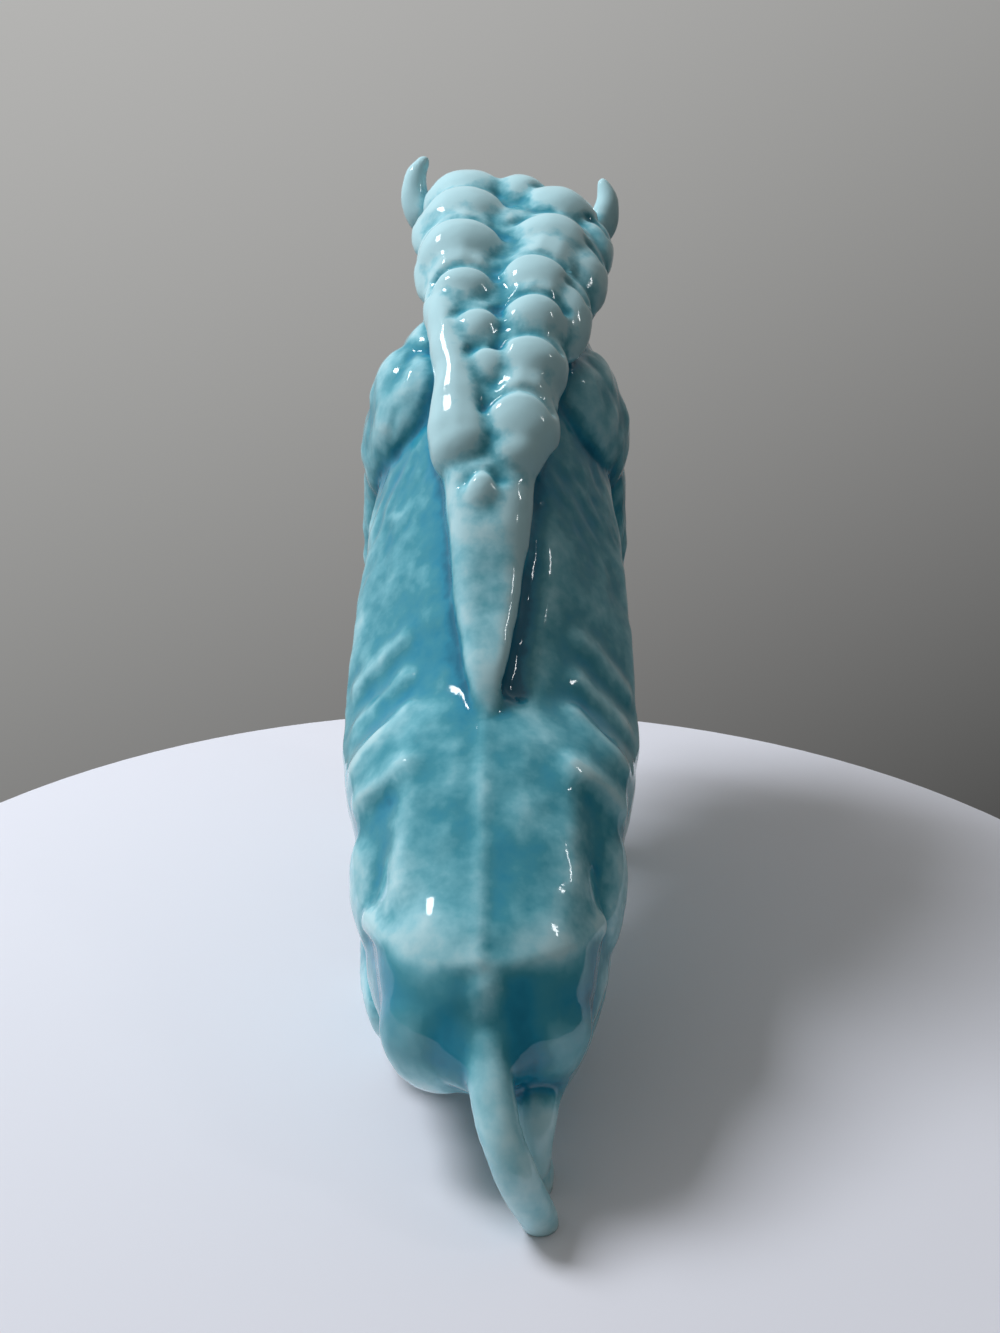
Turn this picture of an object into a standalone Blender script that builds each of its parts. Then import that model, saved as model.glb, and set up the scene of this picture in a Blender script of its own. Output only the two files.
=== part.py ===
"""Ceramic bison figurine, one hollow slip-cast piece modelled as a single solid.

The bison crouches on bent hind legs and stands on straight front legs, with its head raised
and its tail hanging to the ground. It faces +Y, its right side is +X and it stands on z = 0.
The pose, proportions and carving are given in grid units, which are shares of its height.
"""

import math

import bmesh
import bpy
import numpy as np
from mathutils import Matrix, Vector
from mathutils.bvhtree import BVHTree

# Driving dimensions, in metres
HEIGHT = 0.290            # soles to the tip of the taller horn
CLAY_CELL = 0.0022        # cell of the voxel skin that joins the modelled forms
TRIANGLES = 9400          # faces kept in the finished solid

# The modelling grid: the figure is this many units tall
UNITS_TALL = 114.2
UNIT = HEIGHT / UNITS_TALL

SMOOTHING_PASSES = 5      # these blend the forms into one another
SOLE_DEPTH = 3.0          # how far feet reach below the ground before they are cut flat, in units

# Trunk stations from rump to neck: place, slope of the axis in degrees, half width,
# height above the axis and depth below it in units, and how flat the back is (2 is an ellipse)
TRUNK = [
    # y, z, slope, half width, above, below, flatness
    (122.5, 15.4, 4, 3.0, 2.6, 3.0, 2.0),
    (125.0, 16.0, 8, 6.6, 5.0, 4.6, 2.2),
    (130.0, 18.0, 12, 11.0, 9.4, 7.6, 2.5),
    (138.0, 20.8, 18, 13.4, 11.3, 10.0, 2.8),
    (148.0, 24.0, 26, 15.0, 14.2, 12.0, 2.8),
    (160.0, 30.0, 34, 18.8, 15.4, 15.0, 2.5),
    (166.0, 34.0, 37, 19.6, 15.4, 17.4, 1.7),
    (171.0, 37.5, 40, 20.2, 16.5, 19.5, 1.35),
    (182.0, 47.5, 42, 19.8, 18.0, 23.5, 1.25),
    (193.0, 58.0, 43, 18.8, 19.0, 26.5, 1.25),
    (204.0, 68.0, 45, 17.0, 19.0, 28.0, 1.4),
    (215.0, 79.0, 46, 12.8, 17.0, 24.0, 1.7),
    (225.0, 89.0, 47, 10.6, 14.0, 15.0, 2.0),
    (233.0, 96.0, 48, 9.0, 9.0, 9.0, 2.0),
]

# The mane's top line from the middle of the back to the crown
NAPE = [
    # y, z
    (154.5, 45.0),
    (157.5, 49.7),
    (164.5, 56.9),
    (172.0, 65.8),
    (180.0, 75.0),
    (186.5, 81.8),
    (194.0, 88.7),
    (203.0, 95.5),
    (212.0, 101.0),
    (221.0, 105.5),
    (230.0, 109.0),
]

# Half width of the mane along the same line
CREST_HALF_WIDTHS = [1.4, 2.7, 4.4, 5.7, 6.8, 7.3, 7.8, 8.2, 8.6, 8.6, 8.6]
CREST_SHARE = 0.9         # how deep it is on either side of its axis, as a share of its half width
CREST_FLATNESS = 3.2
CREST_SHIFT = -0.4

# Rounded rolls of the mane: place across, height, half width and half length along the nape
MANE_LOCKS = [
    # x, z, half width, half length
    (-1.6, 69.4, 2.8, 4.6),
    (3.4, 77.2, 5.8, 7.6),
    (-1.0, 84.2, 3.6, 5.2),
    (4.6, 84.8, 5.8, 6.6),
    (-2.6, 89.0, 4.2, 5.4),
    (-4.7, 94.4, 5.4, 5.2),
    (5.1, 90.0, 5.8, 6.4),
    (5.6, 95.4, 6.0, 6.6),
    (-5.3, 99.6, 7.4, 7.6),
    (8.0, 100.8, 7.2, 7.4),
    (-5.0, 104.4, 7.6, 7.6),
    (9.2, 105.2, 7.0, 7.2),
    (-4.6, 107.8, 7.6, 7.0),
    (3.4, 107.8, 5.8, 6.0),
    (12.2, 96.4, 4.8, 8.4),
    (10.0, 90.8, 4.4, 7.6),
    (14.2, 100.4, 4.2, 7.4),
    (-9.6, 97.2, 3.2, 7.0),
    (-9.8, 102.6, 3.8, 6.8),
    (-8.0, 92.0, 2.8, 6.4),
]
LOCK_DEPTH = 0.8          # how deep a roll is, as a share of its half width
LOCK_TILT = 9.0           # degrees, by which each roll overhangs the one above it
RIM_WIDTH = 0.9           # the crease over a roll
RIM_DEPTH = 0.6

# The two columns of hair that the rolls lie on: place across, height and radius
MANE_COLUMNS = [
    [(2.9, 74.6, 4.6), (4.1, 82.0, 5.1), (5.1, 90.0, 5.4), (6.2, 96.0, 5.8), (8.4, 102.0, 6.4)],
    [(-4.9, 93.4, 5.0), (-5.2, 98.0, 6.4), (-5.0, 103.0, 7.0), (-4.6, 107.6, 6.8)],
]

# The long lock on the left: it comes out from under a roll and runs down into a heavy end
LONG_LOCK = [
    # x, z, radius
    (-5.6, 95.6, 2.8),
    (-7.0, 91.8, 3.1),
    (-6.2, 87.6, 3.4),
    (-5.0, 84.0, 3.9),
    (-4.6, 80.4, 4.5),
    (-4.4, 77.4, 5.3),
    (-3.8, 75.4, 5.3),
]

# The last ribs, from the flank up towards the spine, on the right side
RIBS = [
    [(16.4, 151.8, 34.1), (13.3, 149.8, 37.7), (10.3, 150.0, 40.4)],
    [(16.8, 155.9, 37.7), (13.6, 156.6, 41.2), (10.9, 158.8, 43.8)],
    [(17.7, 165.2, 39.8), (14.5, 164.6, 43.3), (11.5, 164.6, 46.4)],
    [(18.3, 171.2, 42.7), (15.2, 170.6, 46.2), (12.1, 170.1, 49.6)],
]

# Lines of the back: the backbone, the edge of the flat loin, the hollow of the flank,
# the furrow on the right of the mane and the groove before the thigh
SPINE = [(-0.9, 153.8, 45.1), (-0.9, 143.6, 38.2), (-0.8, 132.6, 31.0), (-0.8, 126.8, 26.8)]
LOIN_EDGE = [(10.2, 147.8, 38.9), (10.2, 142.2, 34.9), (10.5, 137.1, 31.1)]
FLANK_HOLLOW = [(12.9, 147.0, 35.2), (13.0, 144.2, 32.0), (13.1, 142.1, 29.1)]
FURROW = [(7.4, 182.4, 72.0), (6.6, 180.3, 67.0), (5.6, 174.4, 60.2), (4.6, 166.3, 53.8), (3.0, 158.6, 47.6)]
THIGH_FRONT = [(18.0, 164.0, 30.0), (18.0, 171.0, 24.0), (15.0, 173.0, 18.0)]

# The face on the upright head, right side: the mouth's line and the fold over the eye
MOUTH = [(0.0, 261.4, 69.6), (4.0, 260.0, 69.2), (7.0, 255.6, 69.8), (8.0, 251.6, 72.0)]
EYE_FOLD = [(6.4, 254.8, 90.6), (9.0, 251.6, 91.4), (10.6, 248.0, 89.6)]
NOSTRIL = (3.3, 261.6, 74.2)

# Width and height of what is raised from the skin, or pressed into it where the height is negative
SPINE_SWELL = (6.0, 0.3)
SPINE_LINE = (1.0, 0.25)
RIB_RELIEF = (1.5, 0.6)
EDGE_RELIEF = (2.0, 0.4)
HOLLOW_RELIEF = (2.8, -1.6)
FURROW_RELIEF = (2.0, -1.1)
THIGH_RELIEF = (2.4, -1.0)
MOUTH_RELIEF = (0.9, -1.0)
EYE_RELIEF = (0.9, -0.7)
NOSTRIL_RELIEF = (1.3, -1.6)

# Head pose
HEAD_CENTRE = (0.0, 236.0, 97.0)
HEAD_SHIFT = 0.9          # the neck brings the head this far to the bison's right
NECK_SWAY = 1.8           # the same for the trunk's last station, beginning at the shoulders
HEAD_ROLL = 6.2           # degrees, right side down

COAT_REACH = 300.0        # a distance that lies outside the whole figure

# Glaze seen from a step away
GLAZE_COLOUR = (0.115, 0.42, 0.48, 1.0)
GLAZE_ROUGHNESS = 0.12


def clear_scene():
    """Remove whatever objects the file holds."""
    for old in list(bpy.data.objects):
        bpy.data.objects.remove(old, do_unlink=True)


def new_collection(name):
    group = bpy.data.collections.new(name)
    bpy.context.scene.collection.children.link(group)
    return group


def catmull_rom(rows, steps):
    """Rows of numbers along a smooth curve through the given rows."""
    rows = np.array(rows, dtype=float)
    padded = np.vstack([2 * rows[0] - rows[1], rows, 2 * rows[-1] - rows[-2]])
    result = []
    for index in range(len(rows) - 1):
        a, b, c, d = padded[index:index + 4]
        for step in range(steps):
            t = step / steps
            row = b + 0.5 * t * (c - a + t * (2 * a - 5 * b + 4 * c - d + t * (3 * (b - c) + d - a)))
            result.append(row)
    result.append(rows[-1])
    return np.array(result)


def head_matrix():
    """Carries the upright head to its tilted place on the neck."""
    centre = Vector(HEAD_CENTRE)
    tilt = Matrix.Rotation(math.radians(HEAD_ROLL), 4, "Y")
    return Matrix.Translation(centre + Vector((HEAD_SHIFT, 0, 0))) @ tilt @ Matrix.Translation(-centre)


def add_ellipsoid(clay, centre, radii, turn=(0, 0, 0), place=None):
    """Adds an ellipsoid to the clay. turn holds degrees about X, Y and Z."""
    turned = Matrix.Identity(4)
    for degrees, axis in zip(turn, "XYZ"):
        turned = Matrix.Rotation(math.radians(degrees), 4, axis) @ turned
    shape = Matrix.Translation(Vector(centre)) @ turned @ Matrix.Diagonal((*radii, 1.0))
    if place is not None:
        shape = place @ shape
    bmesh.ops.create_icosphere(clay, subdivisions=3, radius=1.0, matrix=shape)


def add_limb(clay, points, place=None, steps=6):
    """Adds a round limb through points of x, y, z and radius, with rounded ends."""
    path = catmull_rom(points, steps)
    curve = bpy.data.curves.new("limb", "CURVE")
    curve.dimensions = "3D"
    curve.bevel_depth = 1.0
    curve.bevel_resolution = 4
    curve.use_fill_caps = True
    spline = curve.splines.new("POLY")
    spline.points.add(len(path) - 1)
    for point, (x, y, z, radius) in zip(spline.points, path):
        point.co = (x, y, z, 1.0)
        point.radius = radius
    holder = bpy.data.objects.new("limb", curve)
    mesh = bpy.data.meshes.new_from_object(holder)
    if place is not None:
        mesh.transform(place)
    clay.from_mesh(mesh)
    bpy.data.objects.remove(holder)
    bpy.data.curves.remove(curve)
    bpy.data.meshes.remove(mesh)
    for x, y, z, radius in (path[0], path[-1]):
        add_ellipsoid(clay, (x, y, z), (radius, radius, radius), place=place)


def neck_sway(y):
    """How far the body bends to the bison's right at y."""
    share = min(max((y - 195) / 38, 0.0), 1.0)
    return NECK_SWAY * share * share * (3 - 2 * share)


def trunk_point(station, angle):
    """A point on the trunk's skin. angle is in degrees, 0 at the right side and 90 on the back."""
    y, z, slope, half_width, above, below, flatness = station
    sine = math.sin(math.radians(angle))
    cosine = math.cos(math.radians(angle))
    power = 2 / flatness if sine > 0 else 1.0
    across = math.copysign(abs(cosine) ** power, cosine) * half_width
    rise = math.copysign(abs(sine) ** power, sine)
    up = rise * (above if sine > 0 else below)
    tilt = math.radians(slope)
    return Vector((across + neck_sway(y), y - up * math.sin(tilt), z + up * math.cos(tilt)))


def add_loft(clay, stations, shift=0.0):
    """A closed loft through sections like the trunk's, moved across by the shift."""
    sides = 40
    rings = []
    for station in catmull_rom(stations, 5):
        ring = []
        for side in range(sides):
            point = trunk_point(station, 360 * side / sides)
            point.x += shift
            ring.append(clay.verts.new(point))
        rings.append(ring)
    for lower, upper in zip(rings, rings[1:]):
        for side in range(sides):
            after = (side + 1) % sides
            clay.faces.new((lower[side], lower[after], upper[after], upper[side]))
    clay.faces.new(list(reversed(rings[0])))
    clay.faces.new(rings[-1])


def add_hindquarters(clay):
    """Hip bones, haunches, folded lower thighs, buttocks and the ridge across the croup."""
    for side in (-1, 1):
        add_ellipsoid(clay, (side * 9.8, 138.6, 25.0), (3.6, 6.4, 2.8), (22, 0, side * 6))
        add_ellipsoid(clay, (side * 9.4, 144.0, 18.6), (5.6, 14.0, 9.6), (14, 0, side * -6))
        add_ellipsoid(clay, (side * 12.2, 150.5, 25.0), (5.0, 12.0, 9.0), (26, 0, 0))
        add_ellipsoid(clay, (side * 4.6, 131.8, 16.4), (7.6, 7.8, 8.6))
        add_ellipsoid(clay, (side * 12.4, 160.0, 19.6), (4.8, 10.5, 9.0), (-24, 0, 0))
    add_ellipsoid(clay, (0.0, 131.4, 15.6), (8.0, 7.8, 7.6))
    add_ellipsoid(clay, (0.0, 126.8, 20.6), (3.0, 2.6, 5.6), (-8, 0, 0))
    add_limb(clay, [
        (-12.8, 139.6, 24.8, 2.5),
        (-9.2, 133.6, 24.9, 2.6),
        (-5.0, 130.0, 24.9, 2.5),
        (0.0, 128.6, 24.9, 2.3),
        (5.0, 130.0, 25.1, 2.5),
        (8.6, 132.8, 25.1, 2.6),
        (11.8, 138.2, 25.2, 2.5),
    ])


def add_shoulders(clay):
    """Shoulder blades, upper arms and the woolly tufts at the elbows. The right one stands higher."""
    for side, raised in ((-1, 0.0), (1, 1.0)):
        add_ellipsoid(clay, (side * 12.0, 207.0, 74.0 + raised), (7.2, 11.0, 12.0), (42, side * -20, 0))
        add_ellipsoid(clay, (side * 13.2, 208.5, 76.0), (6.2, 9.0, 9.6))
        add_ellipsoid(clay, (side * 9.0, 211.0, 83.6 + raised), (5.6, 8.0, 6.6), (30, side * -30, 0))
        add_ellipsoid(clay, (side * 15.4, 210.0, 69.0 + 2 * raised), (5.6, 9.0, 10.0), (30, side * 4, 0))
        add_ellipsoid(clay, (side * 16.6, 212.5, 63.0), (4.6, 6.0, 6.0), (0, side * 8, 0))
        add_ellipsoid(clay, (side * 11.4, 220.0, 60.0), (8.0, 12.0, 19.0), (14, 0, 0))


def add_foot(clay, x, y, size):
    """A cloven hoof: two toes side by side, reaching below the ground for the flat cut."""
    for toe in (-1, 1):
        add_ellipsoid(clay, (x + toe * 0.42 * size, y + 0.35 * size, 0.55 * size),
                      (0.62 * size, 1.15 * size, 1.25 * size), (0, 0, toe * -6))
    add_limb(clay, [(x, y, -SOLE_DEPTH, 0.95 * size), (x, y, 0.9 * size, 0.82 * size)])


def add_front_legs(clay):
    """Straight front legs, woolly above the knee."""
    for side in (-1, 1):
        add_limb(clay, [
            (side * 15.2, 213.0, 62.0, 6.2),
            (side * 15.2, 213.5, 52.0, 6.2),
            (side * 14.6, 214.5, 43.0, 6.0),
            (side * 14.0, 215.0, 36.0, 5.0),
            (side * 13.6, 216.0, 28.0, 3.9),
            (side * 13.4, 214.6, 20.0, 3.1),
            (side * 13.4, 213.2, 11.0, 3.0),
            (side * 13.4, 213.6, 5.0, 3.5),
        ])
        add_foot(clay, side * 13.4, 214.0, 3.9)


def add_right_hind_leg(clay):
    """The leg set back under the rump, its cannon upright behind the tail."""
    add_limb(clay, [
        (11.8, 166.0, 15.0, 5.2),
        (10.8, 152.0, 11.6, 5.0),
        (9.0, 139.0, 11.0, 4.2),
        (6.0, 128.6, 10.4, 3.2),
        (5.4, 124.0, 8.0, 2.4),
        (5.3, 123.2, 4.0, 2.1),
    ])
    add_foot(clay, 5.3, 123.6, 2.4)


def add_left_hind_leg(clay):
    """The leg set forward, out of sight behind the haunch."""
    add_limb(clay, [
        (-12.8, 166.0, 15.0, 5.4),
        (-12.0, 154.0, 10.6, 5.0),
        (-11.8, 146.0, 9.4, 3.8),
        (-11.4, 148.5, 5.6, 3.1),
        (-11.2, 156.0, 3.6, 2.9),
        (-11.2, 161.0, 3.4, 3.0),
    ])
    add_foot(clay, -11.2, 163.0, 3.6)


def add_tail(clay):
    """A thick tail that swings to the right and ends on the ground against the right heel."""
    add_limb(clay, [
        (0.1, 126.8, 19.6, 2.6),
        (0.2, 123.8, 16.8, 2.7),
        (0.8, 120.6, 14.0, 2.6),
        (1.9, 117.8, 10.8, 2.4),
        (3.5, 116.6, 7.2, 2.35),
        (5.2, 117.2, 3.2, 2.3),
        (6.0, 118.4, 0.4, 2.2),
        (6.1, 118.9, -SOLE_DEPTH, 2.0),
    ])


def nape_y(z):
    """How far forward the mane's top line lies at a height."""
    line = np.array(NAPE)
    return float(np.interp(z, line[:, 1], line[:, 0]))


def nape_slope(z):
    """The slope of the mane's top line at a height, in degrees."""
    reach = 1.5
    return math.degrees(math.atan2(2 * reach, nape_y(z + reach) - nape_y(z - reach)))


def add_crest(clay):
    """The raised mane along the back, flat on top and narrowing to a point behind the hump."""
    stations = []
    for (y, z), half_width in zip(NAPE, CREST_HALF_WIDTHS):
        slope = nape_slope(z)
        sunk = CREST_SHARE * half_width
        axis_y = y + sunk * math.sin(math.radians(slope))
        axis_z = z - sunk * math.cos(math.radians(slope))
        stations.append((axis_y, axis_z, slope, half_width, sunk, sunk, CREST_FLATNESS))
    add_loft(clay, stations, CREST_SHIFT)


def roll_centre(x, z, depth):
    """Where a roll of the mane is centred, sunk further the further out it lies."""
    outer = max(0.0, abs(x - 0.8) - 6.0)
    return Vector((x, nape_y(z) + 0.45 * depth + 0.9 * outer, z - 0.3 * depth))


def roll_rim(x, z, half_width, half_length):
    """The arched crease along the upper rim of a roll, where it laps over the next one."""
    depth = LOCK_DEPTH * half_width
    turn = Matrix.Rotation(math.radians(nape_slope(z) + LOCK_TILT), 3, "X")
    rim = []
    for degrees in range(24, 157, 12):
        across = 0.92 * math.cos(math.radians(degrees))
        along = 0.66 * math.sin(math.radians(degrees))
        out = math.sqrt(1 - across * across - along * along)
        spot = Vector((across * half_width, along * half_length, out * depth))
        rim.append(roll_centre(x, z, depth) + turn @ spot)
    return rim


def add_mane_locks(clay):
    """Two columns of overlapping rolls with a valley between them, and looser ones outside."""
    for x, z, half_width, half_length in MANE_LOCKS:
        depth = LOCK_DEPTH * half_width
        turn = (nape_slope(z) + LOCK_TILT, 0, 0)
        add_ellipsoid(clay, roll_centre(x, z, depth), (half_width, half_length, depth), turn)
    for column in MANE_COLUMNS:
        add_limb(clay, [(x, nape_y(z) + 0.5 * radius, z - 0.48 * radius, radius) for x, z, radius in column])
    add_limb(clay, [(x, nape_y(z) + 0.6 * radius, z - 0.4 * radius, radius) for x, z, radius in LONG_LOCK])


def add_face(clay, place):
    """Broad forehead, long nose, muzzle, chin, cheeks and eyes."""
    add_ellipsoid(clay, (0, 236.0, 99.0), (12.2, 12.0, 9.8), place=place)
    add_ellipsoid(clay, (0, 244.0, 98.0), (10.6, 9.0, 10.4), (-20, 0, 0), place)
    add_limb(clay, [
        (0, 243.0, 94.0, 10.6),
        (0, 247.0, 86.5, 9.4),
        (0, 250.8, 79.6, 7.8),
        (0, 253.6, 74.6, 6.8),
    ], place=place)
    add_ellipsoid(clay, (0, 256.0, 73.2), (7.9, 5.4, 4.8), (-24, 0, 0), place)
    add_ellipsoid(clay, (0, 253.4, 67.4), (5.6, 5.6, 3.6), (-10, 0, 0), place)
    for side in (-1, 1):
        add_ellipsoid(clay, (side * 6.2, 243.0, 81.0), (4.6, 8.6, 8.4), (-20, 0, 0), place)
        add_ellipsoid(clay, (side * 8.2, 249.6, 88.2), (2.0, 2.3, 2.0), place=place)
        add_ellipsoid(clay, (side * 8.0, 249.4, 91.0), (3.0, 3.0, 1.4), (0, side * -10, side * 20), place)
        add_ellipsoid(clay, (side * 3.6, 259.6, 74.2), (2.4, 2.4, 2.4), place=place)


def add_beard(clay, place):
    """A pointed beard of four locks under the jaw."""
    for across, length, thickness in ((0, 27.0, 5.0), (-4.6, 20.0, 4.2), (4.6, 21.0, 4.2), (0, 17.0, 6.4)):
        top = 247.0 - 0.1 * across * across
        add_limb(clay, [
            (across, top, 70.0, thickness),
            (1.1 * across, top - 1.2, 70.0 - 0.45 * length, 0.9 * thickness),
            (0.9 * across, top - 2.6, 70.0 - 0.8 * length, 0.55 * thickness),
            (0.6 * across, top - 4.2, 70.0 - length, 0.7),
        ], place=place)


def add_head(clay):
    """Face, beard, ears and horns, carried by the head's matrix."""
    place = head_matrix()
    add_face(clay, place)
    add_beard(clay, place)
    for side in (-1, 1):
        add_ellipsoid(clay, (side * 9.8, 245.0, 93.5), (3.6, 1.7, 2.3), (0, side * 30, side * 30), place)
        add_limb(clay, [
            (side * 9.6, 236.0, 101.8, 3.2),
            (side * 13.2, 236.2, 102.8, 3.1),
            (side * 15.8, 236.8, 105.6, 2.6),
            (side * 16.2, 237.6, 109.4, 1.95),
            (side * 15.2, 238.4, 112.0, 1.15),
        ], place=place)


def add_forelock(clay):
    """Rows of woolly curls over the forehead, fewer and smaller towards the face."""
    place = head_matrix()
    rows = ((107.6, 240.0, 4), (104.2, 248.4, 4), (99.2, 252.4, 4), (94.6, 253.8, 3))
    for z, y, count in rows:
        for index in range(count):
            across = (index - (count - 1) / 2) * 4.9
            back = 0.045 * across * across
            add_ellipsoid(clay, (across, y - back, z), (3.3, 3.0, 3.0), place=place)


def add_throat(clay):
    """Neck and chest under the head, as shaggy masses."""
    add_ellipsoid(clay, (2.4, 219.0, 96.0), (13.6, 13.0, 8.5), (36, 6, 0))
    add_ellipsoid(clay, (1.6, 234.0, 82.0), (10.4, 14.0, 17.0), (20, 0, 0))
    add_ellipsoid(clay, (0.5, 230.0, 62.0), (12.6, 13.0, 18.0), (15, 0, 0))
    add_ellipsoid(clay, (0.0, 217.0, 45.0), (11.0, 15.0, 13.0), (16, 0, 0))


def add_hanging_lock(clay, tree, start, inward, length, thickness):
    """One pointed lock lying on the coat. The tree finds the coat from outside, along inward."""
    points = []
    for share, width in ((0.0, 0.8), (0.35, 1.0), (0.7, 0.75), (1.0, 0.3)):
        origin = Vector((start[0], start[1], start[2] - share * length))
        spot = tree.ray_cast(origin, Vector(inward))[0]
        if spot is None or points and (spot - Vector(points[-1][:3])).length > length:
            break
        points.append((*spot, width * thickness))
    if len(points) > 2:
        add_limb(clay, points, steps=3)


def add_coat_locks(clay):
    """Shaggy locks on the chest and on both sides of the neck, in staggered rows."""
    tree = BVHTree.FromBMesh(clay)
    for row in range(4):
        z = 74.0 - 10.5 * row
        for index in range(5):
            across = 5.2 * (index - 2 + 0.5 * (row % 2))
            add_hanging_lock(clay, tree, (across, COAT_REACH, z), (0, -1, 0), 13.0, 2.6)
    for side in (-1, 1):
        for row in range(5):
            for index in range(3):
                start = (side * COAT_REACH, 219.5 + 5.6 * (index + 0.5 * (row % 2)), 92.0 - 9.5 * row)
                add_hanging_lock(clay, tree, start, (-side, 0, 0), 12.0, 2.4)


def carve(points, normals, path, radius, height):
    """Raises the skin along a path, or sinks it where the height is negative."""
    path = np.array([tuple(point) for point in path])
    nearest = np.full(len(points), np.inf)
    if len(path) == 1:
        nearest = np.linalg.norm(points - path[0], axis=1)
    for start, end in zip(path, path[1:]):
        along = end - start
        share = np.clip((points - start) @ along / (along @ along), 0, 1)
        gap = np.linalg.norm(points - start - share[:, None] * along, axis=1)
        nearest = np.minimum(nearest, gap)
    swell = height * np.exp(-(nearest / radius) ** 2)
    points += normals * swell[:, None]


def mirrored(path, side):
    """The path on the right side for side 1, or its mirror image on the left for side -1."""
    return [(side * x, y, z) for x, y, z in path]


def carve_rolls(points, normals):
    """A crease over each roll of the mane."""
    for roll in MANE_LOCKS:
        carve(points, normals, roll_rim(*roll), RIM_WIDTH, -RIM_DEPTH)


def carve_face(points, normals):
    """Mouth, nostrils and the folds over the eyes."""
    place = head_matrix()
    for side in (-1, 1):
        for path, relief in ((MOUTH, MOUTH_RELIEF), ([NOSTRIL], NOSTRIL_RELIEF), (EYE_FOLD, EYE_RELIEF)):
            carve(points, normals, [place @ Vector(point) for point in mirrored(path, side)], *relief)


def carve_figure(mesh):
    """Ribs, flank hollows and the other modelling that is pressed into the skin."""
    count = len(mesh.vertices)
    points = np.empty(count * 3)
    normals = np.empty(count * 3)
    mesh.vertices.foreach_get("co", points)
    mesh.vertices.foreach_get("normal", normals)
    points = points.reshape(count, 3)
    normals = normals.reshape(count, 3)
    carve(points, normals, SPINE, *SPINE_SWELL)
    carve(points, normals, SPINE, *SPINE_LINE)
    carve(points, normals, FURROW, *FURROW_RELIEF)
    for side in (-1, 1):
        for path in RIBS:
            carve(points, normals, mirrored(catmull_rom(path, 5), side), *RIB_RELIEF)
        carve(points, normals, mirrored(FLANK_HOLLOW, side), *HOLLOW_RELIEF)
        carve(points, normals, mirrored(catmull_rom(LOIN_EDGE, 5), side), *EDGE_RELIEF)
        carve(points, normals, mirrored(THIGH_FRONT, side), *THIGH_RELIEF)
    carve_rolls(points, normals)
    carve_face(points, normals)
    mesh.vertices.foreach_set("co", points.ravel())
    mesh.update()


def evaluated_copy(source, name):
    """The mesh of an object with its modifiers applied."""
    depsgraph = bpy.context.evaluated_depsgraph_get()
    mesh = bpy.data.meshes.new_from_object(source.evaluated_get(depsgraph))
    mesh.name = name
    return mesh


def skinned_mesh(clay, name, cell, smoothing, group):
    """One skin around all the clay's forms, blended where they meet."""
    rough = bpy.data.meshes.new(name)
    clay.to_mesh(rough)
    holder = bpy.data.objects.new(name, rough)
    group.objects.link(holder)
    skin = holder.modifiers.new("Skin", "REMESH")
    skin.mode = "VOXEL"
    skin.voxel_size = cell / UNIT
    soften = holder.modifiers.new("Soften", "SMOOTH")
    soften.factor = 0.5
    soften.iterations = round(smoothing)
    mesh = evaluated_copy(holder, name)
    bpy.data.objects.remove(holder, do_unlink=True)
    bpy.data.meshes.remove(rough)
    return mesh


def glaze_material():
    material = bpy.data.materials.new("turquoise_glaze")
    material.use_nodes = True
    shader = material.node_tree.nodes["Principled BSDF"]
    shader.inputs["Base Color"].default_value = GLAZE_COLOUR
    shader.inputs["Roughness"].default_value = GLAZE_ROUGHNESS
    shader.inputs["Metallic"].default_value = 0.0
    return material


def ground_cutter(group):
    """A block under the ground plane, which cuts the feet and the tail's end flat."""
    width = 2 * HEIGHT
    bpy.ops.mesh.primitive_cube_add(size=1.0, location=(0, 0, -width / 2))
    cutter = bpy.context.active_object
    cutter.name = "ground_cutter"
    cutter.scale = (2 * width, 2 * width, width)
    cutter.display_type = "WIRE"
    cutter.hide_render = True
    for owner in list(cutter.users_collection):
        owner.objects.unlink(cutter)
    group.objects.link(cutter)
    return cutter


def centre_over_origin(mesh):
    """Moves the mesh sideways so that its box is centred over the origin."""
    corners = np.empty(len(mesh.vertices) * 3)
    mesh.vertices.foreach_get("co", corners)
    corners = corners.reshape(-1, 3)
    middle = (corners.min(axis=0) + corners.max(axis=0)) / 2
    mesh.transform(Matrix.Translation((-middle[0], -middle[1], 0.0)))


def build_bison(group, cutters):
    clay = bmesh.new()
    add_loft(clay, TRUNK)
    add_hindquarters(clay)
    add_shoulders(clay)
    add_front_legs(clay)
    add_right_hind_leg(clay)
    add_left_hind_leg(clay)
    add_tail(clay)
    add_crest(clay)
    add_mane_locks(clay)
    add_throat(clay)
    add_coat_locks(clay)
    add_head(clay)
    add_forelock(clay)
    mesh = skinned_mesh(clay, "bison", CLAY_CELL, SMOOTHING_PASSES, group)
    clay.free()
    carve_figure(mesh)
    mesh.transform(Matrix.Scale(UNIT, 4))
    centre_over_origin(mesh)
    bison = bpy.data.objects.new("bison", mesh)
    group.objects.link(bison)
    mesh.materials.clear()
    mesh.materials.append(glaze_material())
    thin = bison.modifiers.new("Thin out", "DECIMATE")
    thin.ratio = TRIANGLES / sum(len(face.vertices) - 2 for face in mesh.polygons)
    thin.use_collapse_triangulate = True
    flat = bison.modifiers.new("Flat soles", "BOOLEAN")
    flat.operation = "DIFFERENCE"
    flat.solver = "EXACT"
    flat.object = ground_cutter(cutters)
    mesh.shade_smooth()
    return bison


def main():
    clear_scene()
    figurine = new_collection("ceramic bison figurine")
    cutters = new_collection("cutters")
    build_bison(figurine, cutters)


main()
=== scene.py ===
"""Looks of the ceramic bison figurine: its carved skin, its pooled turquoise glaze and the studio.

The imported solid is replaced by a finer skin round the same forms, with the woolly relief of the
coat. Forms and carving are given on the same grid, as shares of the figure's height.
"""

import math

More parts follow.
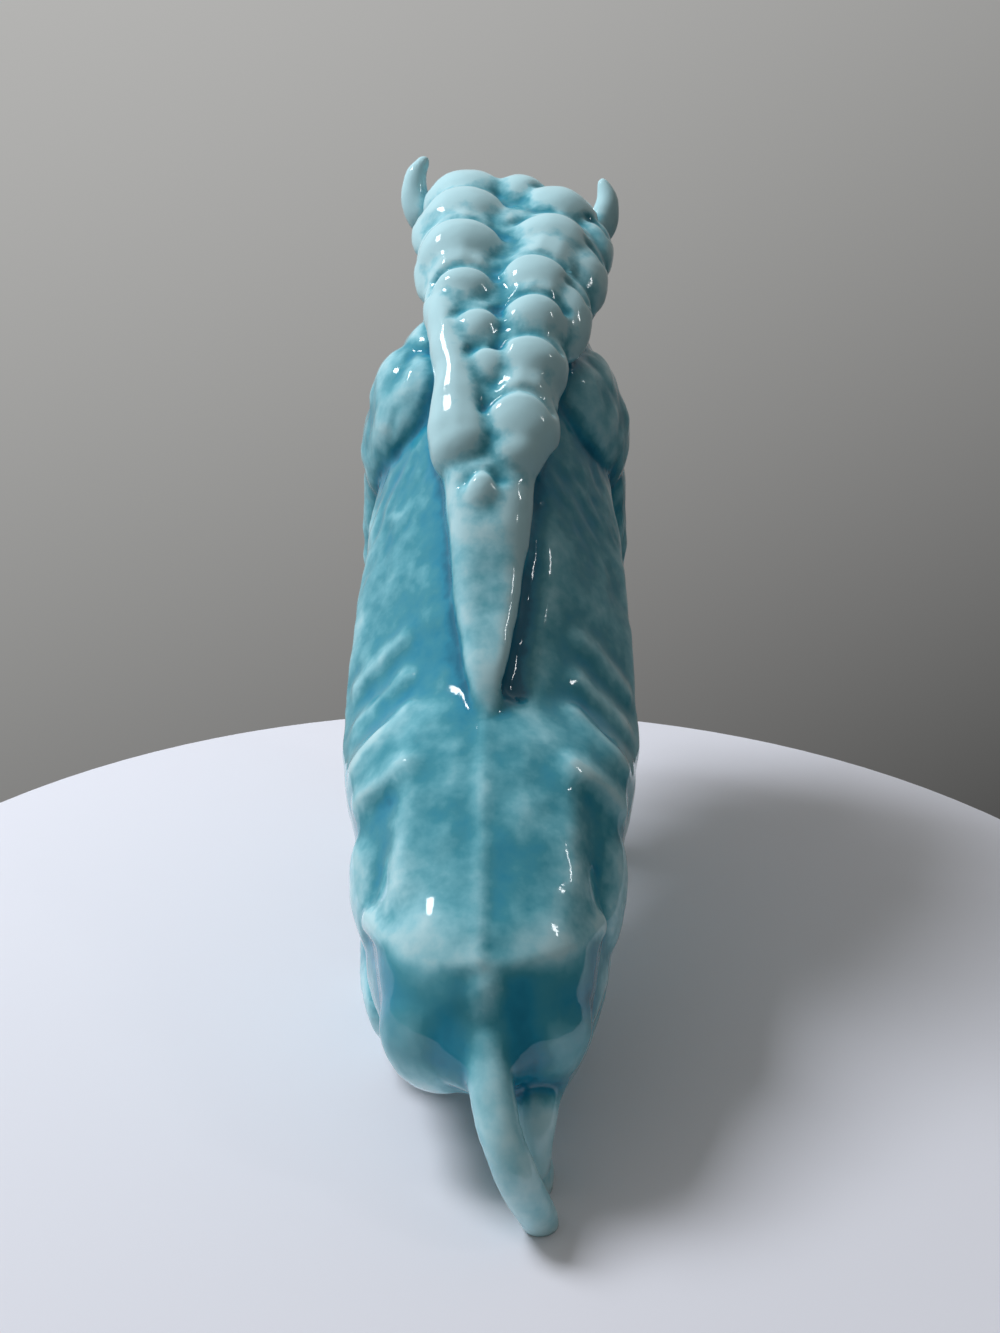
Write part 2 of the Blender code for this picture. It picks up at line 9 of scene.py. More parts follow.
import bmesh
import bpy
import numpy as np
from mathutils import Matrix, Vector, noise
from mathutils.bvhtree import BVHTree


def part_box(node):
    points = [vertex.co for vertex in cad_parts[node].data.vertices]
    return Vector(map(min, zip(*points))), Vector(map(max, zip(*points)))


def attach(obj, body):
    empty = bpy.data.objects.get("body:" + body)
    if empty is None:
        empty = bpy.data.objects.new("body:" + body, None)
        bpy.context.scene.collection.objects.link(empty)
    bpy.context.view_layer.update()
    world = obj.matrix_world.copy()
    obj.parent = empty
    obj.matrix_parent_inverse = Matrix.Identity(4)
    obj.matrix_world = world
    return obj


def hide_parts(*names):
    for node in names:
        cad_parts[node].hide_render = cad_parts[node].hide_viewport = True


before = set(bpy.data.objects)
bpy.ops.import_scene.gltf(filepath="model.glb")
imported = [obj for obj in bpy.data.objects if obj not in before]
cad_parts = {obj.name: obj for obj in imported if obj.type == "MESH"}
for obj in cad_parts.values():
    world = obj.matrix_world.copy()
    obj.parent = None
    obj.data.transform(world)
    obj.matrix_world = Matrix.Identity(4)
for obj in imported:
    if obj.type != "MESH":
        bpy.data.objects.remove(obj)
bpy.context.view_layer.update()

# Driving dimensions, in metres
HEIGHT = 0.290            # soles to the tip of the taller horn, as in the solid
SKIN_CELL = 0.00125       # cell of the fine skin

# The modelling grid: the figure is this many units tall
UNITS_TALL = 114.2
UNIT = HEIGHT / UNITS_TALL

LOFT_SIDES = 40           # points round a section of the trunk or the crest
LOFT_STEPS = 5            # sections for each given one
LIMB_RESOLUTION = 4       # bevel resolution of a limb's round section
BALL_SUBDIVISIONS = 3     # how finely an ellipsoid is divided
SMOOTHING_PASSES = 9      # these blend the forms into one another
SMOOTHING_FACTOR = 0.5    # how far each of them goes
FINE_TRIANGLES = 188000   # faces kept in the fine skin
SOLE_DEPTH = 3.0          # how far feet reach below the ground before they are cut flat, in units

# Trunk stations from rump to neck: place, slope of the axis in degrees, half width,
# height above the axis and depth below it in units, and how flat the back is (2 is an ellipse)
TRUNK = [
    # y, z, slope, half width, above, below, flatness
    (122.5, 15.4, 4, 3.0, 2.6, 3.0, 2.0),
    (125.0, 16.0, 8, 6.6, 5.0, 4.6, 2.2),
    (130.0, 18.0, 12, 11.0, 9.4, 7.6, 2.5),
    (138.0, 20.8, 18, 13.4, 11.3, 10.0, 2.8),
    (148.0, 24.0, 26, 15.0, 14.2, 12.0, 2.8),
    (160.0, 30.0, 34, 18.8, 15.4, 15.0, 2.5),
    (166.0, 34.0, 37, 19.6, 15.4, 17.4, 1.7),
    (171.0, 37.5, 40, 20.2, 16.5, 19.5, 1.35),
    (182.0, 47.5, 42, 19.8, 18.0, 23.5, 1.25),
    (193.0, 58.0, 43, 18.8, 19.0, 26.5, 1.25),
    (204.0, 68.0, 45, 17.0, 19.0, 28.0, 1.4),
    (215.0, 79.0, 46, 12.8, 17.0, 24.0, 1.7),
    (225.0, 89.0, 47, 10.6, 14.0, 15.0, 2.0),
    (233.0, 96.0, 48, 9.0, 9.0, 9.0, 2.0),
]

# The mane's top line from the middle of the back to the crown
NAPE = [
    # y, z
    (154.5, 45.0),
    (157.5, 49.7),
    (164.5, 56.9),
    (172.0, 65.8),
    (180.0, 75.0),
    (186.5, 81.8),
    (194.0, 88.7),
    (203.0, 95.5),
    (212.0, 101.0),
    (221.0, 105.5),
    (230.0, 109.0),
]

# Half width of the mane along the same line
CREST_HALF_WIDTHS = [1.4, 2.7, 4.4, 5.7, 6.8, 7.3, 7.8, 8.2, 8.6, 8.6, 8.6]
CREST_SHARE = 0.9         # how deep it is on either side of its axis, as a share of its half width
CREST_FLATNESS = 3.2
CREST_SHIFT = -0.4

# Rounded rolls of the mane: place across, height, half width and half length along the nape
MANE_LOCKS = [
    # x, z, half width, half length
    (-1.6, 69.4, 2.8, 4.6),
    (3.4, 77.2, 5.8, 7.6),
    (-1.0, 84.2, 3.6, 5.2),
    (4.6, 84.8, 5.8, 6.6),
    (-2.6, 89.0, 4.2, 5.4),
    (-4.7, 94.4, 5.4, 5.2),
    (5.1, 90.0, 5.8, 6.4),
    (5.6, 95.4, 6.0, 6.6),
    (-5.3, 99.6, 7.4, 7.6),
    (8.0, 100.8, 7.2, 7.4),
    (-5.0, 104.4, 7.6, 7.6),
    (9.2, 105.2, 7.0, 7.2),
    (-4.6, 107.8, 7.6, 7.0),
    (3.4, 107.8, 5.8, 6.0),
    (12.2, 96.4, 4.8, 8.4),
    (10.0, 90.8, 4.4, 7.6),
    (14.2, 100.4, 4.2, 7.4),
    (-9.6, 97.2, 3.2, 7.0),
    (-9.8, 102.6, 3.8, 6.8),
    (-8.0, 92.0, 2.8, 6.4),
]
LOCK_DEPTH = 0.8          # how deep a roll is, as a share of its half width
LOCK_TILT = 9.0           # degrees, by which each roll overhangs the one above it
LOCK_MIDDLE = 0.8         # the rolls lie about this place across
LOCK_FLAT = 6.0           # those further out than this from it are sunk
LOCK_SINK = 0.9           # how far forward they are sunk, for each unit further out
LOCK_FORWARD = 0.45       # how far a roll's middle lies in front of the top line, and how far
LOCK_DOWN = 0.3           # below it, in shares of its depth
RIM_WIDTH = 0.9           # the crease over a roll
RIM_DEPTH = 0.6
RIM_ACROSS = 0.92         # how far out on the roll it runs, in shares of its half width
RIM_ALONG = 0.66          # and of its half length
RIM_DEGREES = range(24, 157, 12)  # its points, turning from the right side over the upper end

# The two columns of hair that the rolls lie on: place across, height and radius
MANE_COLUMNS = [
    [(2.9, 74.6, 4.6), (4.1, 82.0, 5.1), (5.1, 90.0, 5.4), (6.2, 96.0, 5.8), (8.4, 102.0, 6.4)],
    [(-4.9, 93.4, 5.0), (-5.2, 98.0, 6.4), (-5.0, 103.0, 7.0), (-4.6, 107.6, 6.8)],
]
COLUMN_SUNK = (0.5, 0.48)         # how far forward and down they lie, in shares of their radius

# The long lock on the left: it comes out from under a roll and runs down into a heavy end
LONG_LOCK = [
    # x, z, radius
    (-5.6, 95.6, 2.8),
    (-7.0, 91.8, 3.1),
    (-6.2, 87.6, 3.4),
    (-5.0, 84.0, 3.9),
    (-4.6, 80.4, 4.5),
    (-4.4, 77.4, 5.3),
    (-3.8, 75.4, 5.3),
]
LONG_LOCK_SUNK = (0.6, 0.4)       # how far forward and down it lies, in shares of its radius

# The last ribs, from the flank up towards the spine, on the right side
RIBS = [
    [(16.4, 151.8, 34.1), (13.3, 149.8, 37.7), (10.3, 150.0, 40.4)],
    [(16.8, 155.9, 37.7), (13.6, 156.6, 41.2), (10.9, 158.8, 43.8)],
    [(17.7, 165.2, 39.8), (14.5, 164.6, 43.3), (11.5, 164.6, 46.4)],
    [(18.3, 171.2, 42.7), (15.2, 170.6, 46.2), (12.1, 170.1, 49.6)],
]

# Lines of the back: the backbone, the edge of the flat loin, the hollow of the flank,
# the furrow on the right of the mane and the groove before the thigh
SPINE = [(-0.9, 153.8, 45.1), (-0.9, 143.6, 38.2), (-0.8, 132.6, 31.0), (-0.8, 126.8, 26.8)]
LOIN_EDGE = [(10.2, 147.8, 38.9), (10.2, 142.2, 34.9), (10.5, 137.1, 31.1)]
FLANK_HOLLOW = [(12.9, 147.0, 35.2), (13.0, 144.2, 32.0), (13.1, 142.1, 29.1)]
FURROW = [
    (7.4, 182.4, 72.0),
    (6.6, 180.3, 67.0),
    (5.6, 174.4, 60.2),
    (4.6, 166.3, 53.8),
    (3.0, 158.6, 47.6),
]
THIGH_FRONT = [(18.0, 164.0, 30.0), (18.0, 171.0, 24.0), (15.0, 173.0, 18.0)]

# The face on the upright head, right side: the mouth's line and the fold over the eye
MOUTH = [(0.0, 261.4, 69.6), (4.0, 260.0, 69.2), (7.0, 255.6, 69.8), (8.0, 251.6, 72.0)]
EYE_FOLD = [(6.4, 254.8, 90.6), (9.0, 251.6, 91.4), (10.6, 248.0, 89.6)]
NOSTRIL = (3.3, 261.6, 74.2)

# Width and height of what is raised from the skin, or pressed into it where the height is negative
SPINE_SWELL = (6.0, 0.3)
SPINE_LINE = (1.0, 0.25)
RIB_RELIEF = (1.9, 0.7)
EDGE_RELIEF = (2.0, 0.4)
HOLLOW_RELIEF = (3.6, -0.9)
FURROW_RELIEF = (2.0, -1.1)
THIGH_RELIEF = (2.4, -1.0)
MOUTH_RELIEF = (0.9, -1.0)
EYE_RELIEF = (0.9, -0.7)
NOSTRIL_RELIEF = (1.3, -1.6)

# Head pose
HEAD_CENTRE = (0.0, 236.0, 97.0)
HEAD_SHIFT = 0.9          # the neck brings the head this far to the bison's right
NECK_SWAY = 1.8           # the same for the trunk's last station
NECK_START = 195.0        # where the sway begins, at the shoulders
NECK_LENGTH = 38.0        # and how far on it is full
HEAD_ROLL = 6.2           # degrees, right side down

# Rows of curls on the forehead
FORELOCK_ROWS = [
    # z, y, number of curls
    (107.6, 240.0, 4),
    (104.2, 248.4, 4),
    (99.2, 252.4, 4),
    (94.6, 253.8, 3),
]
CURL_RADII = (3.3, 3.0, 3.0)
CURL_GAP = 4.9            # from one curl of a row to the next
CURL_BEND = 0.045         # how far back a curl lies, times the square of its distance across

# Locks of the beard
BEARD_LOCKS = [
    # x, length, thickness
    (0, 27.0, 5.0),
    (-4.6, 20.0, 4.2),
    (4.6, 21.0, 4.2),
    (0, 17.0, 6.4),
]
BEARD_TOP = (247.0, 70.0)         # y and z where they begin
BEARD_BEND = 0.1          # how far back a lock begins, times the square of its distance across

# Hanging locks of the coat, in staggered rows on the chest and on both sides of the neck
HANGING_PROFILE = [
    # share of the length, share of the thickness
    (0.0, 0.8),
    (0.35, 1.0),
    (0.7, 0.75),
    (1.0, 0.3),
]
HANGING_STEPS = 3         # points of the lock's curve for each of those
COAT_REACH = 300.0        # a distance that lies outside the whole figure
STAGGER = 0.5             # how far every other row is shifted, in shares of the gap
CHEST_LOCK = (13.0, 2.6)          # length and thickness
CHEST_ROWS = 4
CHEST_COUNT = 5           # locks in a row
CHEST_GAP = 5.2           # from one lock to the next
CHEST_TOP = 74.0          # height of the first row
CHEST_DROP = 10.5         # from one row to the next
NECK_LOCK = (12.0, 2.4)
NECK_ROWS = 5
NECK_COUNT = 3
NECK_BACK = 219.5         # place along Y of a row's first lock
NECK_GAP = 5.6
NECK_TOP = 92.0
NECK_DROP = 9.5

# Where the coat is woolly: centres on the right side, and how far the wool reaches
WOOL_BLOBS = [
    ((14.0, 208.0, 76.0), 15.0),
    ((17.0, 192.0, 62.0), 14.0),
    ((12.0, 224.0, 82.0), 17.0),
    ((15.0, 214.0, 54.0), 14.0),
    ((6.0, 234.0, 60.0), 19.0),
]
COAT_FALL = (0.5, -0.30, -0.85)   # the way the coat falls on the right side
TUFT_SIZE = 2.5           # one tuft of the coat across the fall, in units
TUFT_STRETCH = 1.8        # how much longer a tuft is along the fall
TUFT_HEIGHT = 0.3         # how far tufts stand out
SMALL_TUFTS = 0.35        # height of the tufts of half that size, as a share of the others'
UNEVENNESS = 0.34         # depth of the hand-modelled unevenness
WAVE_SIZE = 9.0           # its broad waves
SMALL_WAVE_SIZE = 3.5     # its small ones, and their depth as a share of the others'
SMALL_WAVES = 0.4
NOISE_STEP = (17.0, -9.0, 5.0)    # from one noise's place to the next one's

# Passes of smoothing that a point's relief is measured against, and that even out the result
SMALL_RELIEF_PASSES = 20
BROAD_RELIEF_PASSES = 120
RELIEF_BLUR_PASSES = 3

# Where the mane is paler than the body: height, reach to either side and how pale
MANE_HEIGHTS = [44.0, 60.0, 72.0, 78.0, 90.0, 110.0]
MANE_WIDTHS = [1.5, 6.0, 8.5, 12.0, 14.0, 17.0]
MANE_PALENESS = [0.0, 0.5, 0.95, 1.3, 1.15, 1.1]
MANE_EDGE = 2.5           # the paleness fades over this width at its edges
MANE_UNDERSIDE = (11.0, 6.0)      # how far in front of the top line it begins, and is full

# Painted light on the horns, a paler glaze colour: the height and the distance across where that
# begins, and is full
HORN_HEIGHTS = (103.0, 107.0)
HORN_SIDES = (11.0, 14.0)

# Painted light on the hip bone on the right and its mirror on the left, a paler glaze colour: its
# place and how far it reaches
HIP_BONE = (12.4, 139.0, 27.6)
HIP_LIGHT_REACH = 5.0

# Painted shade on the rump's wall, a darker glaze colour: where it begins, and is full
PAINTED_SHADE_TOP = (26.2, 24.7)
PAINTED_SHADE_FOOT = (13.0, 16.0)
PAINTED_SHADE_FRONT = (137.0, 134.0)
PAINTED_SHADE_MIDDLE = (1.5, 4.0)

# Colours of the glaze, from thick and deep to thin and pale
GLAZE_RAMP = [
    (0.00, (0.008, 0.170, 0.270)),
    (0.22, (0.022, 0.275, 0.400)),
    (0.44, (0.058, 0.325, 0.400)),
    (0.62, (0.150, 0.465, 0.535)),
    (0.82, (0.320, 0.650, 0.710)),
    (1.00, (0.500, 0.770, 0.800)),
]
GLAZE_LEVEL = 0.42        # the place on that ramp of a plain, smooth spot
SMALL_RELIEF_GAIN = 1.9   # what a unit of each relief adds to it
BROAD_RELIEF_GAIN = 0.03
THIN_GLAZE_AND_PAINTED_LIGHT_GAIN = 0.34    # what the thin glaze of the mane, the painted light on the horns and hips and the painted shade on the rump add
CLOUDS = (45.0, 3.0, 0.65)        # scale, detail and strength of the glaze's broad clouds
MOTTLE = (200.0, 4.0, 0.42)       # the same for its small mottles
MOTTLE_ON_MANE = 0.8      # how much stronger those are where the glaze is thin and where light is painted, and weaker where shade is painted
GLAZE_ROUGHNESS = 0.07
GLAZE_IOR = 1.55
RIPPLE_NOISE = (320.0, 2.0)       # scale and detail of the ripple in the glaze's surface
RIPPLE_STRENGTH = 0.05
RIPPLE_HEIGHT = 0.0008    # metres

# Lights: place and aim, width and height in metres, and watts
WINDOW = ((-0.77, 0.28, 1.19), (0, 0, 0.12), 0.42, 0.55, 17.5)
WINDOW_COLOUR = (0.95, 0.985, 1.08)
WINDOW_GLEAM = ((-0.744, 0.176, 1.272), (-0.070, -0.173, 0.257), 0.20, 0.20, 2.4)
FAR_WINDOW = ((1.00, -0.20, 1.28), (0, 0, 0.15), 0.045, 0.26, 0.7)

# The room's light: its level, what it gains along each axis, and its limits
ROOM_LEVEL = 0.143
ROOM_GAINS = {"X": -0.205, "Y": 0.20, "Z": 0.42}
ROOM_TOP = 0.4            # it gains no more above this height
ROOM_LIMITS = (0.03, 0.46)
ROOM_TINT = {"Red": 1.0, "Green": 0.995, "Blue": 0.975}

# The floor, drawn out towards the camera, in metres
FLOOR_SIDES = 96
FLOOR_RADIUS = 0.27
FLOOR_THICKNESS = 0.012
FLOOR_CENTRE = -0.03      # its middle along Y, nearer the camera than the figure's
FLOOR_STRETCH = 1.7
FLOOR_COLOUR = (0.73, 0.73, 0.76)
FLOOR_ROUGHNESS = 0.5

# Camera, at the photo's own angle
CAMERA_PLACE = (1.0, -187.63, 100.0)
CAMERA_PITCH = 17.528     # degrees below the horizon
CAMERA_ROLL = 0.587
CAMERA_LENS = 35.88
CAMERA_SENSOR = 36        # millimetres, along the picture's longer side


def catmull_rom(rows, steps):
    """Rows of numbers along a smooth curve through the given rows."""
    rows = np.array(rows, dtype=float)
    padded = np.vstack([2 * rows[0] - rows[1], rows, 2 * rows[-1] - rows[-2]])
    result = []
    for index in range(len(rows) - 1):
        a, b, c, d = padded[index:index + 4]
        for step in range(steps):
            t = step / steps
            bend = 2 * a - 5 * b + 4 * c - d + t * (3 * (b - c) + d - a)
            result.append(b + 0.5 * t * (c - a + t * bend))
    result.append(rows[-1])
    return np.array(result)


def head_matrix():
    """Carries the upright head to its tilted place on the neck."""
    centre = Vector(HEAD_CENTRE)
    tilt = Matrix.Rotation(math.radians(HEAD_ROLL), 4, "Y")
    place = Matrix.Translation(centre + Vector((HEAD_SHIFT, 0, 0)))
    return place @ tilt @ Matrix.Translation(-centre)


def add_ellipsoid(clay, centre, radii, turn=(0, 0, 0), place=None):
    """Adds an ellipsoid to the clay. turn holds degrees about X, Y and Z."""
    turned = Matrix.Identity(4)
    for degrees, axis in zip(turn, "XYZ"):
        turned = Matrix.Rotation(math.radians(degrees), 4, axis) @ turned
    shape = Matrix.Translation(Vector(centre)) @ turned @ Matrix.Diagonal((*radii, 1.0))
    if place is not None:
        shape = place @ shape
    bmesh.ops.create_icosphere(clay, subdivisions=BALL_SUBDIVISIONS, radius=1.0, matrix=shape)


def add_limb(clay, points, place=None, steps=6):
    """Adds a round limb through points of x, y, z and radius, with rounded ends."""
    path = catmull_rom(points, steps)
    curve = bpy.data.curves.new("limb", "CURVE")
    curve.dimensions = "3D"
    curve.bevel_depth = 1.0
    curve.bevel_resolution = LIMB_RESOLUTION
    curve.use_fill_caps = True
    spline = curve.splines.new("POLY")
    spline.points.add(len(path) - 1)
    for point, (x, y, z, radius) in zip(spline.points, path):
        point.co = (x, y, z, 1.0)
        point.radius = radius
    holder = bpy.data.objects.new("limb", curve)
    mesh = bpy.data.meshes.new_from_object(holder)
    if place is not None:
        mesh.transform(place)
    clay.from_mesh(mesh)
    bpy.data.objects.remove(holder)
    bpy.data.curves.remove(curve)
    bpy.data.meshes.remove(mesh)
    for x, y, z, radius in (path[0], path[-1]):
        add_ellipsoid(clay, (x, y, z), (radius, radius, radius), place=place)


def neck_sway(y):
    """How far the body bends to the bison's right at y."""
    share = min(max((y - NECK_START) / NECK_LENGTH, 0.0), 1.0)
    return NECK_SWAY * share * share * (3 - 2 * share)


def trunk_point(station, angle):
    """A point on the trunk's skin. angle is in degrees, 0 at the right side and 90 on the back."""
    y, z, slope, half_width, above, below, flatness = station
    sine = math.sin(math.radians(angle))
    cosine = math.cos(math.radians(angle))
    power = 2 / flatness if sine > 0 else 1.0
    across = math.copysign(abs(cosine) ** power, cosine) * half_width
    up = math.copysign(abs(sine) ** power, sine) * (above if sine > 0 else below)
    tilt = math.radians(slope)
    return Vector((across + neck_sway(y), y - up * math.sin(tilt), z + up * math.cos(tilt)))


def add_loft(clay, stations, shift=0.0):
    """A closed loft through sections like the trunk's, moved across by the shift."""
    rings = []
    for station in catmull_rom(stations, LOFT_STEPS):
        ring = []
        for side in range(LOFT_SIDES):
            point = trunk_point(station, 360 * side / LOFT_SIDES)
            point.x += shift
            ring.append(clay.verts.new(point))
        rings.append(ring)
    for lower, upper in zip(rings, rings[1:]):
        for side in range(LOFT_SIDES):
            after = (side + 1) % LOFT_SIDES
            clay.faces.new((lower[side], lower[after], upper[after], upper[side]))
    clay.faces.new(list(reversed(rings[0])))
    clay.faces.new(rings[-1])


def add_hindquarters(clay):
    """Hip bones, haunches, folded lower thighs, buttocks and the ridge across the croup."""
    for side in (-1, 1):
        add_ellipsoid(clay, (side * 9.8, 138.6, 25.0), (3.6, 6.4, 2.8), (22, 0, side * 6))
        add_ellipsoid(clay, (side * 9.4, 144.0, 18.6), (5.6, 14.0, 9.6), (14, 0, side * -6))
        add_ellipsoid(clay, (side * 12.2, 150.5, 25.0), (5.0, 12.0, 9.0), (26, 0, 0))
        add_ellipsoid(clay, (side * 4.6, 131.8, 16.4), (7.6, 7.8, 8.6))
        add_ellipsoid(clay, (side * 12.4, 160.0, 19.6), (4.8, 10.5, 9.0), (-24, 0, 0))
    add_ellipsoid(clay, (0.0, 131.4, 15.6), (8.0, 7.8, 7.6))
    add_ellipsoid(clay, (0.0, 126.8, 20.6), (3.0, 2.6, 5.6), (-8, 0, 0))
    add_limb(clay, [
        (-12.8, 139.6, 24.8, 2.5),
        (-9.2, 133.6, 24.9, 2.6),
        (-5.0, 130.0, 24.9, 2.5),
        (0.0, 128.6, 24.9, 2.3),
        (5.0, 130.0, 25.1, 2.5),
        (8.6, 132.8, 25.1, 2.6),
        (11.8, 138.2, 25.2, 2.5),
    ])


def add_shoulders(clay):
    """Shoulder blades, upper arms and woolly tufts at the elbows. The right side stands higher."""
    for side, raised in ((-1, 0.0), (1, 1.0)):
        add_ellipsoid(clay, (side * 12.0, 207.0, 74.0 + raised), (7.2, 11.0, 12.0),
                      (42, side * -20, 0))
        add_ellipsoid(clay, (side * 13.2, 208.5, 76.0), (6.2, 9.0, 9.6))
        add_ellipsoid(clay, (side * 9.0, 211.0, 83.6 + raised), (5.6, 8.0, 6.6),
                      (30, side * -30, 0))
        add_ellipsoid(clay, (side * 15.4, 210.0, 69.0 + 2 * raised), (5.6, 9.0, 10.0),
                      (30, side * 4, 0))
        add_ellipsoid(clay, (side * 16.6, 212.5, 63.0), (4.6, 6.0, 6.0), (0, side * 8, 0))
        add_ellipsoid(clay, (side * 11.4, 220.0, 60.0), (8.0, 12.0, 19.0), (14, 0, 0))


def add_foot(clay, x, y, size):
    """A cloven hoof: two toes side by side, reaching below the ground for the flat cut."""
    for toe in (-1, 1):
        add_ellipsoid(clay, (x + toe * 0.42 * size, y + 0.35 * size, 0.55 * size),
                      (0.62 * size, 1.15 * size, 1.25 * size), (0, 0, toe * -6))
    add_limb(clay, [(x, y, -SOLE_DEPTH, 0.95 * size), (x, y, 0.9 * size, 0.82 * size)])


def add_front_legs(clay):
    """Straight front legs, woolly above the knee."""
    for side in (-1, 1):
        add_limb(clay, [
            (side * 15.2, 213.0, 62.0, 6.2),
            (side * 15.2, 213.5, 52.0, 6.2),
            (side * 14.6, 214.5, 43.0, 6.0),
            (side * 14.0, 215.0, 36.0, 5.0),
            (side * 13.6, 216.0, 28.0, 3.9),
            (side * 13.4, 214.6, 20.0, 3.1),
            (side * 13.4, 213.2, 11.0, 3.0),
            (side * 13.4, 213.6, 5.0, 3.5),
        ])
        add_foot(clay, side * 13.4, 214.0, 3.9)


def add_right_hind_leg(clay):
    """The leg set back under the rump, its cannon upright behind the tail."""
    add_limb(clay, [
        (11.8, 166.0, 15.0, 5.2),
        (10.8, 152.0, 11.6, 5.0),
        (9.0, 139.0, 11.0, 4.2),
        (6.0, 128.6, 10.4, 3.2),
        (5.4, 124.0, 8.0, 2.4),
        (5.3, 123.2, 4.0, 2.1),
    ])
    add_foot(clay, 5.3, 123.6, 2.4)


def add_left_hind_leg(clay):
    """The leg set forward, out of sight behind the haunch."""
    add_limb(clay, [
        (-12.8, 166.0, 15.0, 5.4),
        (-12.0, 154.0, 10.6, 5.0),
        (-11.8, 146.0, 9.4, 3.8),
        (-11.4, 148.5, 5.6, 3.1),
        (-11.2, 156.0, 3.6, 2.9),
        (-11.2, 161.0, 3.4, 3.0),
    ])
    add_foot(clay, -11.2, 163.0, 3.6)


def add_tail(clay):
    """A thick tail that swings to the right and ends on the ground against the right heel."""
    add_limb(clay, [
        (0.1, 126.8, 19.6, 2.6),
        (0.2, 123.8, 16.8, 2.7),
        (0.8, 120.6, 14.0, 2.6),
        (1.9, 117.8, 10.8, 2.4),
        (3.5, 116.6, 7.2, 2.35),
        (5.2, 117.2, 3.2, 2.3),
        (6.0, 118.4, 0.4, 2.2),
        (6.1, 118.9, -SOLE_DEPTH, 2.0),
    ])


def nape_y(z):
    """How far forward the mane's top line lies at a height."""
    line = np.array(NAPE)
    return float(np.interp(z, line[:, 1], line[:, 0]))


def nape_slope(z):
    """The slope of the mane's top line at a height, in degrees."""
    reach = 1.5
    return math.degrees(math.atan2(2 * reach, nape_y(z + reach) - nape_y(z - reach)))


def add_crest(clay):
    """The raised mane along the back, flat on top and narrowing to a point behind the hump."""
    stations = []
    for (y, z), half_width in zip(NAPE, CREST_HALF_WIDTHS):
        slope = nape_slope(z)
        sunk = CREST_SHARE * half_width
        axis_y = y + sunk * math.sin(math.radians(slope))
        axis_z = z - sunk * math.cos(math.radians(slope))
        stations.append((axis_y, axis_z, slope, half_width, sunk, sunk, CREST_FLATNESS))
    add_loft(clay, stations, CREST_SHIFT)


def roll_centre(x, z, depth):
    """Where a roll of the mane is centred, sunk further the further out it lies."""
    outer = max(0.0, abs(x - LOCK_MIDDLE) - LOCK_FLAT)
    y = nape_y(z) + LOCK_FORWARD * depth + LOCK_SINK * outer
    return Vector((x, y, z - LOCK_DOWN * depth))


def roll_rim(x, z, half_width, half_length):
    """The arched crease along the upper rim of a roll, where it laps over the next one."""
    depth = LOCK_DEPTH * half_width
    turn = Matrix.Rotation(math.radians(nape_slope(z) + LOCK_TILT), 3, "X")
    rim = []
    for degrees in RIM_DEGREES:
        across = RIM_ACROSS * math.cos(math.radians(degrees))
        along = RIM_ALONG * math.sin(math.radians(degrees))
        out = math.sqrt(1 - across * across - along * along)
        spot = Vector((across * half_width, along * half_length, out * depth))
        rim.append(roll_centre(x, z, depth) + turn @ spot)
    return rim


def along_nape(points, inward, down):
    """Points of a limb that lies under the mane's top line, sunk by shares of their radius."""
    limb = []
    for x, z, radius in points:
        limb.append((x, nape_y(z) + inward * radius, z - down * radius, radius))
    return limb


def add_mane_locks(clay):
    """Two columns of overlapping rolls with a valley between them, and looser ones outside."""
    for x, z, half_width, half_length in MANE_LOCKS:
        depth = LOCK_DEPTH * half_width
        turn = (nape_slope(z) + LOCK_TILT, 0, 0)
        add_ellipsoid(clay, roll_centre(x, z, depth), (half_width, half_length, depth), turn)
    for column in MANE_COLUMNS:
        add_limb(clay, along_nape(column, *COLUMN_SUNK))
    add_limb(clay, along_nape(LONG_LOCK, *LONG_LOCK_SUNK))


def add_face(clay, place):
    """Broad forehead, long nose, muzzle, chin, cheeks and eyes."""
    add_ellipsoid(clay, (0, 236.0, 99.0), (12.2, 12.0, 9.8), place=place)
    add_ellipsoid(clay, (0, 244.0, 98.0), (10.6, 9.0, 10.4), (-20, 0, 0), place)
    add_limb(clay, [
        (0, 243.0, 94.0, 10.6),
        (0, 247.0, 86.5, 9.4),
        (0, 250.8, 79.6, 7.8),
        (0, 253.6, 74.6, 6.8),
    ], place=place)
    add_ellipsoid(clay, (0, 256.0, 73.2), (7.9, 5.4, 4.8), (-24, 0, 0), place)
    add_ellipsoid(clay, (0, 253.4, 67.4), (5.6, 5.6, 3.6), (-10, 0, 0), place)
    for side in (-1, 1):
        add_ellipsoid(clay, (side * 6.2, 243.0, 81.0), (4.6, 8.6, 8.4), (-20, 0, 0), place)
        add_ellipsoid(clay, (side * 8.2, 249.6, 88.2), (2.0, 2.3, 2.0), place=place)
        brow_turn = (0, side * -10, side * 20)
        add_ellipsoid(clay, (side * 8.0, 249.4, 91.0), (3.0, 3.0, 1.4), brow_turn, place)
        add_ellipsoid(clay, (side * 3.6, 259.6, 74.2), (2.4, 2.4, 2.4), place=place)


def add_beard(clay, place):
    """A pointed beard of four locks under the jaw."""
    front, top = BEARD_TOP
    for across, length, thickness in BEARD_LOCKS:
        y = front - BEARD_BEND * across * across
        add_limb(clay, [
            (across, y, top, thickness),
            (1.1 * across, y - 1.2, top - 0.45 * length, 0.9 * thickness),
            (0.9 * across, y - 2.6, top - 0.8 * length, 0.55 * thickness),
            (0.6 * across, y - 4.2, top - length, 0.7),
        ], place=place)


